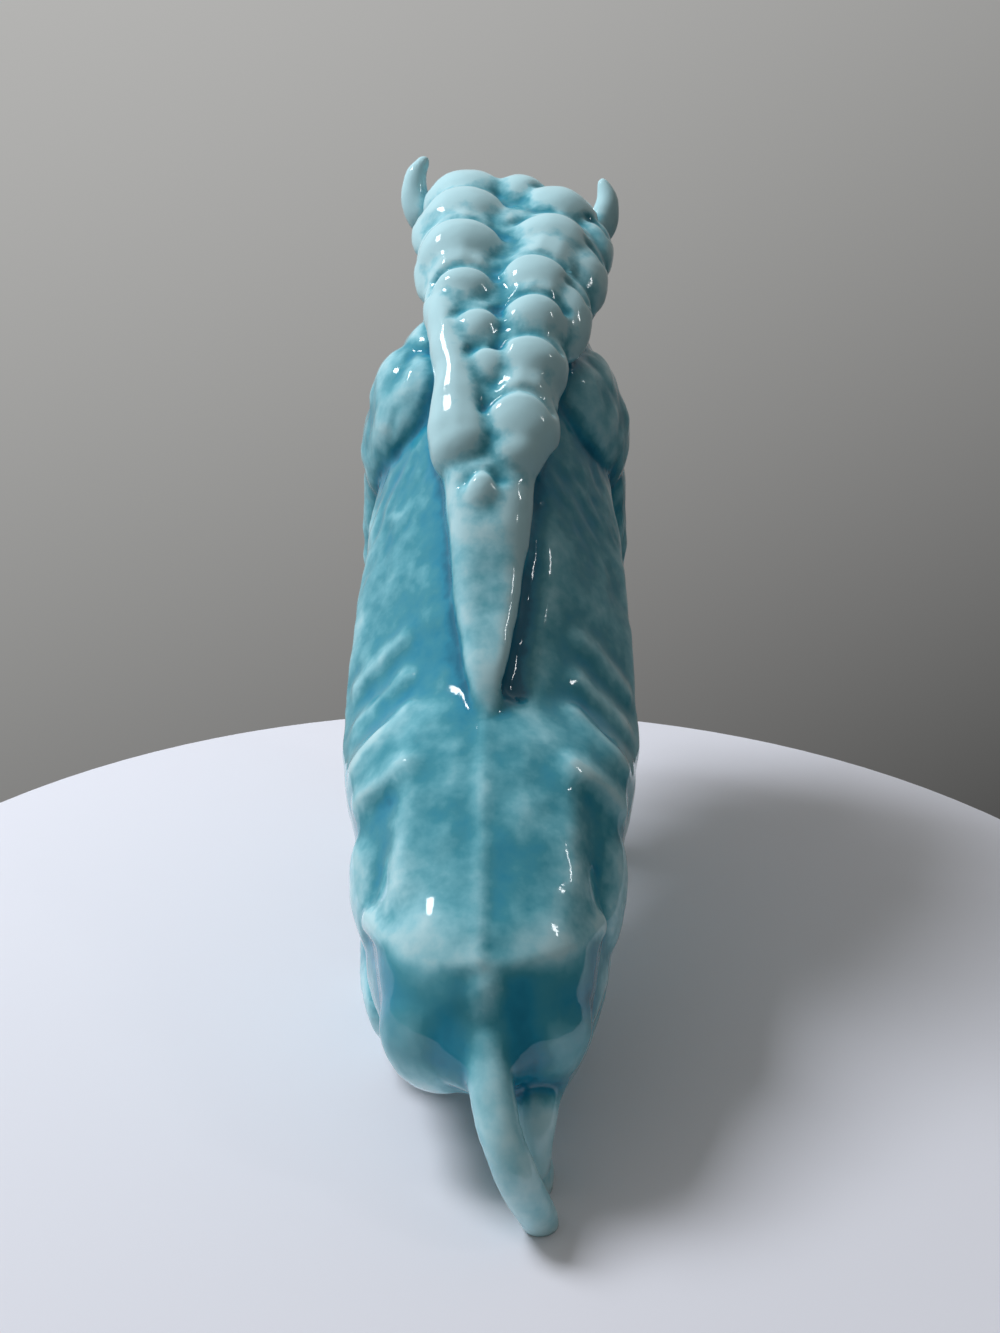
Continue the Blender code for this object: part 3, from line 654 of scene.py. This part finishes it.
def add_head(clay):
    """Face, beard, ears and horns, carried by the head's matrix."""
    place = head_matrix()
    add_face(clay, place)
    add_beard(clay, place)
    for side in (-1, 1):
        ear_turn = (0, side * 30, side * 30)
        add_ellipsoid(clay, (side * 9.8, 245.0, 93.5), (3.6, 1.7, 2.3), ear_turn, place)
        add_limb(clay, [
            (side * 9.6, 236.0, 101.8, 3.2),
            (side * 13.2, 236.2, 102.8, 3.1),
            (side * 15.8, 236.8, 105.6, 2.6),
            (side * 16.2, 237.6, 109.4, 1.95),
            (side * 15.2, 238.4, 112.0, 1.15),
        ], place=place)


def add_forelock(clay):
    """Rows of woolly curls over the forehead, fewer and smaller towards the face."""
    place = head_matrix()
    for z, y, count in FORELOCK_ROWS:
        for index in range(count):
            across = (index - (count - 1) / 2) * CURL_GAP
            back = CURL_BEND * across * across
            add_ellipsoid(clay, (across, y - back, z), CURL_RADII, place=place)


def add_throat(clay):
    """Neck and chest under the head, as shaggy masses."""
    add_ellipsoid(clay, (2.4, 219.0, 96.0), (13.6, 13.0, 8.5), (36, 6, 0))
    add_ellipsoid(clay, (1.6, 234.0, 82.0), (10.4, 14.0, 17.0), (20, 0, 0))
    add_ellipsoid(clay, (0.5, 230.0, 62.0), (12.6, 13.0, 18.0), (15, 0, 0))
    add_ellipsoid(clay, (0.0, 217.0, 45.0), (11.0, 15.0, 13.0), (16, 0, 0))


def add_hanging_lock(clay, tree, start, inward, length, thickness):
    """One pointed lock lying on the coat. The tree finds the coat from outside, along inward."""
    points = []
    for share, width in HANGING_PROFILE:
        origin = Vector((start[0], start[1], start[2] - share * length))
        spot = tree.ray_cast(origin, Vector(inward))[0]
        if spot is None or (points and (spot - Vector(points[-1][:3])).length > length):
            break
        points.append((*spot, width * thickness))
    if len(points) > 2:
        add_limb(clay, points, steps=HANGING_STEPS)


def add_coat_locks(clay):
    """Shaggy locks on the chest and on both sides of the neck, in staggered rows."""
    tree = BVHTree.FromBMesh(clay)
    for row in range(CHEST_ROWS):
        z = CHEST_TOP - CHEST_DROP * row
        for index in range(CHEST_COUNT):
            across = CHEST_GAP * (index - (CHEST_COUNT - 1) / 2 + STAGGER * (row % 2))
            add_hanging_lock(clay, tree, (across, COAT_REACH, z), (0, -1, 0), *CHEST_LOCK)
    for side in (-1, 1):
        for row in range(NECK_ROWS):
            z = NECK_TOP - NECK_DROP * row
            for index in range(NECK_COUNT):
                y = NECK_BACK + NECK_GAP * (index + STAGGER * (row % 2))
                start = (side * COAT_REACH, y, z)
                add_hanging_lock(clay, tree, start, (-side, 0, 0), *NECK_LOCK)


def skin_arrays(mesh):
    """Places and normals of a mesh's vertices, as rows."""
    count = len(mesh.vertices)
    points = np.empty(count * 3)
    normals = np.empty(count * 3)
    mesh.vertices.foreach_get("co", points)
    mesh.vertices.foreach_get("normal", normals)
    return points.reshape(count, 3), normals.reshape(count, 3)


def set_points(mesh, points):
    """Moves a mesh's vertices to the given places."""
    mesh.vertices.foreach_set("co", points.ravel())
    mesh.update()


def carve(points, normals, path, radius, height):
    """Raises the skin along a path, or sinks it where the height is negative."""
    path = np.array([tuple(point) for point in path])
    nearest = np.full(len(points), np.inf)
    if len(path) == 1:
        nearest = np.linalg.norm(points - path[0], axis=1)
    for start, end in zip(path, path[1:]):
        along = end - start
        share = np.clip((points - start) @ along / (along @ along), 0, 1)
        gap = np.linalg.norm(points - start - share[:, None] * along, axis=1)
        nearest = np.minimum(nearest, gap)
    swell = height * np.exp(-(nearest / radius) ** 2)
    points += normals * swell[:, None]


def mirrored(path, side):
    """The path on the right side for side 1, or its mirror image on the left for side -1."""
    return [(side * x, y, z) for x, y, z in path]


def carve_rolls(points, normals):
    """A crease over each roll of the mane."""
    for roll in MANE_LOCKS:
        carve(points, normals, roll_rim(*roll), RIM_WIDTH, -RIM_DEPTH)


def carve_face(points, normals):
    """Mouth, nostrils and the folds over the eyes."""
    place = head_matrix()
    features = ((MOUTH, MOUTH_RELIEF), ([NOSTRIL], NOSTRIL_RELIEF), (EYE_FOLD, EYE_RELIEF))
    for side in (-1, 1):
        for path, relief in features:
            placed = [place @ Vector(point) for point in mirrored(path, side)]
            carve(points, normals, placed, *relief)


def carve_figure(mesh):
    """Ribs, flank hollows and the other modelling that is raised from the skin or pressed in."""
    points, normals = skin_arrays(mesh)
    carve(points, normals, SPINE, *SPINE_SWELL)
    carve(points, normals, SPINE, *SPINE_LINE)
    carve(points, normals, FURROW, *FURROW_RELIEF)
    for side in (-1, 1):
        for path in RIBS:
            carve(points, normals, mirrored(catmull_rom(path, 5), side), *RIB_RELIEF)
        carve(points, normals, mirrored(FLANK_HOLLOW, side), *HOLLOW_RELIEF)
        carve(points, normals, mirrored(catmull_rom(LOIN_EDGE, 5), side), *EDGE_RELIEF)
        carve(points, normals, mirrored(THIGH_FRONT, side), *THIGH_RELIEF)
    carve_rolls(points, normals)
    carve_face(points, normals)
    set_points(mesh, points)


def evaluated_copy(source, name):
    """The mesh of an object with its modifiers applied."""
    depsgraph = bpy.context.evaluated_depsgraph_get()
    mesh = bpy.data.meshes.new_from_object(source.evaluated_get(depsgraph))
    mesh.name = name
    return mesh


def skinned_mesh(clay, name, cell, smoothing, group):
    """One skin around all the clay's forms, blended where they meet."""
    rough = bpy.data.meshes.new(name)
    clay.to_mesh(rough)
    holder = bpy.data.objects.new(name, rough)
    group.objects.link(holder)
    skin = holder.modifiers.new("Skin", "REMESH")
    skin.mode = "VOXEL"
    skin.voxel_size = cell / UNIT
    soften = holder.modifiers.new("Soften", "SMOOTH")
    soften.factor = SMOOTHING_FACTOR
    soften.iterations = smoothing
    mesh = evaluated_copy(holder, name)
    bpy.data.objects.remove(holder, do_unlink=True)
    bpy.data.meshes.remove(rough)
    return mesh


def sampled_noise(points, size, seed):
    """Smooth noise about 0 with features of the given size."""
    offset = seed * Vector(NOISE_STEP)
    return np.array([noise.noise(Vector(point) / size + offset) for point in points])


def wool_share(points):
    """1 on the woolly forequarters, falling to 0 on the smooth back, legs and mane."""
    share = np.zeros(len(points))
    folded = np.abs(points[:, 0])
    for (x, y, z), radius in WOOL_BLOBS:
        gap = np.sqrt((folded - x) ** 2 + (points[:, 1] - y) ** 2 + (points[:, 2] - z) ** 2)
        share = np.maximum(share, np.exp(-(gap / radius) ** 4))
    return share


def add_wool(mesh):
    """Soft tufts that lie along the fall of the coat, and a slight unevenness everywhere."""
    points, normals = skin_arrays(mesh)
    fall = np.tile(COAT_FALL, (len(points), 1))
    fall[:, 0] *= np.sign(points[:, 0])
    fall /= np.linalg.norm(fall, axis=1)[:, None]
    along = np.sum(points * fall, axis=1)[:, None] * fall
    stretched = points - (1 - 1 / TUFT_STRETCH) * along
    tufts = sampled_noise(stretched, TUFT_SIZE, 1)
    tufts += SMALL_TUFTS * sampled_noise(stretched, 0.5 * TUFT_SIZE, 2)
    waves = sampled_noise(points, WAVE_SIZE, 3)
    waves += SMALL_WAVES * sampled_noise(points, SMALL_WAVE_SIZE, 4)
    swell = TUFT_HEIGHT * wool_share(points) * tufts + UNEVENNESS * waves
    set_points(mesh, points + normals * swell[:, None])


def neighbour_mean(values, starts, ends, degrees):
    """The mean of each vertex's neighbours, for one row of values a vertex."""
    result = np.empty_like(values)
    for column in range(values.shape[1]):
        total = np.bincount(starts, values[ends, column], len(values))
        total += np.bincount(ends, values[starts, column], len(values))
        result[:, column] = total / degrees
    return result


def relief_depth(mesh, passes):
    """How far each vertex stands out of the skin smoothed by so many passes, in mesh units."""
    points, normals = skin_arrays(mesh)
    edges = np.empty(len(mesh.edges) * 2, dtype=np.int32)
    mesh.edges.foreach_get("vertices", edges)
    starts, ends = edges.reshape(-1, 2).T
    degrees = np.bincount(edges, minlength=len(points)).astype(float)
    smooth = points.copy()
    for _ in range(passes):
        smooth = 0.5 * smooth + 0.5 * neighbour_mean(smooth, starts, ends, degrees)
    depth = np.sum((points - smooth) * normals, axis=1)
    for _ in range(RELIEF_BLUR_PASSES):
        depth = neighbour_mean(depth[:, None], starts, ends, degrees)[:, 0]
    return depth


def rise(values, ends):
    """0 up to the first end, rising straight to 1 at the second. The ends may also fall."""
    first, second = ends
    return np.clip((values - first) / (second - first), 0, 1)


def thin_glaze_painted_light_and_shade(points):
    """How thin the glaze is on the mane, about 1, with painted light on the horns and hips, about
    1, and painted shade on the rump's wall, about -1.
    """
    line = np.array(NAPE)
    across = np.abs(points[:, 0])
    height = points[:, 2]
    inside = points[:, 1] - np.interp(height, line[:, 1], line[:, 0])
    width = np.interp(height, MANE_HEIGHTS, MANE_WIDTHS)
    mane = np.interp(height, MANE_HEIGHTS, MANE_PALENESS)
    mane *= rise(width - across, (0, MANE_EDGE)) * rise(inside, MANE_UNDERSIDE)
    # painted light: the horns are given a paler glaze colour for the stronger light they catch
    painted_horn_light = rise(height, HORN_HEIGHTS) * rise(across, HORN_SIDES)
    # painted light: the hip bones are given a paler glaze colour where light falls on them
    folded = points.copy()
    folded[:, 0] = across
    painted_hip_light = np.exp(-(np.linalg.norm(folded - np.array(HIP_BONE), axis=1) / HIP_LIGHT_REACH) ** 2)
    # painted shade: the rump's wall, turned away from the light, is given a darker glaze colour
    painted_rump_shade = rise(height, PAINTED_SHADE_TOP) * rise(height, PAINTED_SHADE_FOOT)
    painted_rump_shade *= rise(points[:, 1], PAINTED_SHADE_FRONT) * rise(across, PAINTED_SHADE_MIDDLE)
    return np.maximum(mane, painted_horn_light) + painted_hip_light - painted_rump_shade


def add_number_attribute(mesh, name, values):
    """Stores one number for each vertex, which the glaze reads."""
    attribute = mesh.attributes.new(name, "FLOAT", "POINT")
    attribute.data.foreach_set("value", np.asarray(values, dtype=np.float32))


def cut_flat(mesh):
    """Cuts the mesh at the ground and closes the soles."""
    shape = bmesh.new()
    shape.from_mesh(mesh)
    geometry = shape.verts[:] + shape.edges[:] + shape.faces[:]
    cut = bmesh.ops.bisect_plane(shape, geom=geometry, plane_co=(0, 0, 0), plane_no=(0, 0, 1),
                                 clear_inner=True)
    rim = [item for item in cut["geom_cut"] if isinstance(item, bmesh.types.BMEdge)]
    bmesh.ops.holes_fill(shape, edges=rim, sides=0)
    shape.to_mesh(mesh)
    shape.free()


def whole_figure():
    """All the forms of the figure as clay, one through another."""
    clay = bmesh.new()
    add_loft(clay, TRUNK)
    add_hindquarters(clay)
    add_shoulders(clay)
    add_front_legs(clay)
    add_right_hind_leg(clay)
    add_left_hind_leg(clay)
    add_tail(clay)
    add_crest(clay)
    add_mane_locks(clay)
    add_throat(clay)
    add_coat_locks(clay)
    add_head(clay)
    add_forelock(clay)
    return clay


def solid_shift(mesh):
    """The move across the ground that sets the mesh's middle where the solid has its own."""
    lowest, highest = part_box("bison")
    points = skin_arrays(mesh)[0]
    middle = (points.min(axis=0) + points.max(axis=0)) / 2
    across = (lowest.x + highest.x) / 2 - middle[0]
    along = (lowest.y + highest.y) / 2 - middle[1]
    return Vector((across, along, 0.0))


def thinned_copy(mesh, group):
    """The mesh with its faces brought down to the number that the fine skin keeps."""
    holder = bpy.data.objects.new("bison_skin", mesh)
    group.objects.link(holder)
    thin = holder.modifiers.new("Thin out", "DECIMATE")
    thin.ratio = min(1.0, FINE_TRIANGLES / sum(len(face.vertices) - 2 for face in mesh.polygons))
    thin.use_collapse_triangulate = True
    fine = evaluated_copy(holder, "bison_skin")
    bpy.data.objects.remove(holder, do_unlink=True)
    return fine


def fine_bison():
    """The finer skin round the same forms, in its glaze, set where the solid stands."""
    group = bpy.context.scene.collection
    clay = whole_figure()
    mesh = skinned_mesh(clay, "bison_skin", SKIN_CELL, SMOOTHING_PASSES, group)
    clay.free()
    carve_figure(mesh)
    add_wool(mesh)
    mesh.transform(Matrix.Scale(UNIT, 4))
    shift = solid_shift(mesh)
    mesh.transform(Matrix.Translation(shift))
    fine = thinned_copy(mesh, group)
    cut_flat(fine)
    fine.shade_smooth()
    add_number_attribute(fine, "small_relief", relief_depth(fine, SMALL_RELIEF_PASSES) / UNIT)
    add_number_attribute(fine, "broad_relief", relief_depth(fine, BROAD_RELIEF_PASSES) / UNIT)
    grid_points = (skin_arrays(fine)[0] - np.array(shift)) / UNIT
    # the thin glaze of the mane, with painted light on the horns and hips and painted shade on the
    # rump
    add_number_attribute(fine, "thin_glaze_painted_light_and_shade", thin_glaze_painted_light_and_shade(grid_points))
    bison = bpy.data.objects.new("bison_skin", fine)
    group.objects.link(bison)
    fine.materials.clear()
    fine.materials.append(glaze_material())
    return bison


def mixed_noise(tree, scale, detail):
    """A noise texture between 0 and 1 that is fixed to the object."""
    coordinates = tree.nodes.new("ShaderNodeTexCoord")
    texture = tree.nodes.new("ShaderNodeTexNoise")
    texture.inputs["Scale"].default_value = scale
    texture.inputs["Detail"].default_value = detail
    tree.links.new(coordinates.outputs["Object"], texture.inputs["Vector"])
    return texture.outputs["Fac"]


def number(tree, operation, first, second):
    """A maths node on two inputs, each a socket or a plain number."""
    node = tree.nodes.new("ShaderNodeMath")
    node.operation = operation
    for socket, value in zip(node.inputs, (first, second)):
        if isinstance(value, (int, float)):
            socket.default_value = value
        else:
            tree.links.new(value, socket)
    return node.outputs[0]


def noise_about_zero(tree, scale, detail, strength):
    """The same noise about 0, of the given strength."""
    centred = number(tree, "SUBTRACT", mixed_noise(tree, scale, detail), 0.5)
    return number(tree, "MULTIPLY", centred, strength)


def attribute_times(tree, name, gain):
    """A number stored on the skin, multiplied by the gain."""
    attribute = tree.nodes.new("ShaderNodeAttribute")
    attribute.attribute_name = name
    return number(tree, "MULTIPLY", attribute.outputs["Fac"], gain)


def glaze_place(tree):
    """Where on the glaze's ramp each spot lies: higher where the glaze has run thin and where
    light is painted on the horns and hips, lower where shade is painted on the rump.
    """
    small = attribute_times(tree, "small_relief", SMALL_RELIEF_GAIN)
    broad = attribute_times(tree, "broad_relief", BROAD_RELIEF_GAIN)
    # this carries painted light on the horns and hips and painted shade on the rump, as well as
    # the thin glaze of the mane
    thin = attribute_times(tree, "thin_glaze_painted_light_and_shade", THIN_GLAZE_AND_PAINTED_LIGHT_GAIN)
    depth = number(tree, "ADD", number(tree, "ADD", small, broad), thin)
    spread = number(tree, "ADD", attribute_times(tree, "thin_glaze_painted_light_and_shade", MOTTLE_ON_MANE), 1.0)
    mottle = number(tree, "MULTIPLY", noise_about_zero(tree, *MOTTLE), spread)
    noises = number(tree, "ADD", noise_about_zero(tree, *CLOUDS), mottle)
    return number(tree, "ADD", number(tree, "ADD", depth, GLAZE_LEVEL), noises)


def glaze_material():
    """Glossy turquoise glaze that pools in the hollows and runs thin on ridges and the mane, with
    painted light on the horns and hips and painted shade on the rump.
    """
    material = bpy.data.materials.new("turquoise_glaze")
    material.use_nodes = True
    tree = material.node_tree
    shader = tree.nodes["Principled BSDF"]
    ramp = tree.nodes.new("ShaderNodeValToRGB")
    tree.links.new(glaze_place(tree), ramp.inputs["Fac"])
    stops = ramp.color_ramp.elements
    while len(stops) < len(GLAZE_RAMP):
        stops.new(0.5)
    for stop, (place, colour) in zip(stops, GLAZE_RAMP):
        stop.position = place
        stop.color = (*colour, 1.0)
    tree.links.new(ramp.outputs["Color"], shader.inputs["Base Color"])
    shader.inputs["Roughness"].default_value = GLAZE_ROUGHNESS
    shader.inputs["IOR"].default_value = GLAZE_IOR
    bump = tree.nodes.new("ShaderNodeBump")
    bump.inputs["Strength"].default_value = RIPPLE_STRENGTH
    bump.inputs["Distance"].default_value = RIPPLE_HEIGHT
    tree.links.new(mixed_noise(tree, *RIPPLE_NOISE), bump.inputs["Height"])
    tree.links.new(bump.outputs["Normal"], shader.inputs["Normal"])
    return material


def matt_material(name, colour, roughness):
    """A plain matt surface without reflections."""
    material = bpy.data.materials.new(name)
    material.use_nodes = True
    shader = material.node_tree.nodes["Principled BSDF"]
    shader.inputs["Base Color"].default_value = (*colour, 1.0)
    shader.inputs["Roughness"].default_value = roughness
    shader.inputs["Specular IOR Level"].default_value = 0.0
    return material


def pale_floor():
    """A round floor whose top lies on the ground plane, its near half drawn out."""
    place = (0, FLOOR_CENTRE, -FLOOR_THICKNESS / 2)
    bpy.ops.mesh.primitive_cylinder_add(vertices=FLOOR_SIDES, radius=FLOOR_RADIUS,
                                        depth=FLOOR_THICKNESS, location=place)
    floor = bpy.context.active_object
    floor.name = "pale_floor"
    for corner in floor.data.vertices:
        if corner.co.y < 0:
            corner.co.y *= FLOOR_STRETCH
    floor.data.materials.append(matt_material("pale_floor", FLOOR_COLOUR, FLOOR_ROUGHNESS))
    return floor


def soft_box(name, place, aim, width, height, energy):
    """A rectangular light that faces its aim."""
    light = bpy.data.lights.new(name, "AREA")
    light.shape = "RECTANGLE"
    light.size = width
    light.size_y = height
    light.energy = energy
    box = bpy.data.objects.new(name, light)
    box.location = place
    box.rotation_euler = (Vector(aim) - Vector(place)).to_track_quat("-Z", "Y").to_euler()
    bpy.context.scene.collection.objects.link(box)
    return box


def studio_world():
    """Soft light of the room, brighter ahead, to the left and above."""
    world = bpy.data.worlds.new("studio")
    bpy.context.scene.world = world
    world.use_nodes = True
    tree = world.node_tree
    background = tree.nodes["Background"]
    coordinates = tree.nodes.new("ShaderNodeTexCoord")
    axes = tree.nodes.new("ShaderNodeSeparateXYZ")
    tree.links.new(coordinates.outputs["Generated"], axes.inputs["Vector"])
    across = number(tree, "MULTIPLY", axes.outputs["X"], ROOM_GAINS["X"])
    ahead = number(tree, "MULTIPLY", axes.outputs["Y"], ROOM_GAINS["Y"])
    height = number(tree, "MINIMUM", axes.outputs["Z"], ROOM_TOP)
    height = number(tree, "MULTIPLY", height, ROOM_GAINS["Z"])
    height = number(tree, "ADD", height, ROOM_LEVEL)
    level = number(tree, "ADD", number(tree, "ADD", across, ahead), height)
    darkest, brightest = ROOM_LIMITS
    level = number(tree, "MINIMUM", number(tree, "MAXIMUM", level, darkest), brightest)
    tint = tree.nodes.new("ShaderNodeCombineColor")
    for channel, share in ROOM_TINT.items():
        tree.links.new(number(tree, "MULTIPLY", level, share), tint.inputs[channel])
    tree.links.new(tint.outputs["Color"], background.inputs["Color"])
    background.inputs["Strength"].default_value = 1.0


def photo_camera():
    """The camera at the photo's place, placed on the modelling grid."""
    data = bpy.data.cameras.new("photo_camera")
    camera = bpy.data.objects.new("photo_camera", data)
    bpy.context.scene.collection.objects.link(camera)
    camera.location = UNIT * Vector(CAMERA_PLACE)
    tilt = Matrix.Rotation(math.radians(90 - CAMERA_PITCH), 4, "X")
    roll = Matrix.Rotation(math.radians(CAMERA_ROLL), 4, "Z")
    camera.rotation_euler = (tilt @ roll).to_euler()
    data.sensor_width = CAMERA_SENSOR
    data.lens = CAMERA_LENS
    bpy.context.scene.camera = camera


def studio_lights():
    """The window, the gleam it leaves on the glaze, and a narrow window far to the right."""
    window = soft_box("window", *WINDOW)
    window.data.color = WINDOW_COLOUR
    window.visible_glossy = False
    gleam = soft_box("window_gleam", *WINDOW_GLEAM)
    gleam.visible_diffuse = False
    soft_box("far_window", *FAR_WINDOW)


def main():
    """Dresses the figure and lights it."""
    bison = fine_bison()
    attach(bison, "root")
    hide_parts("bison")
    pale_floor()
    studio_lights()
    studio_world()
    photo_camera()
    bpy.context.scene.view_settings.view_transform = "Standard"


main()
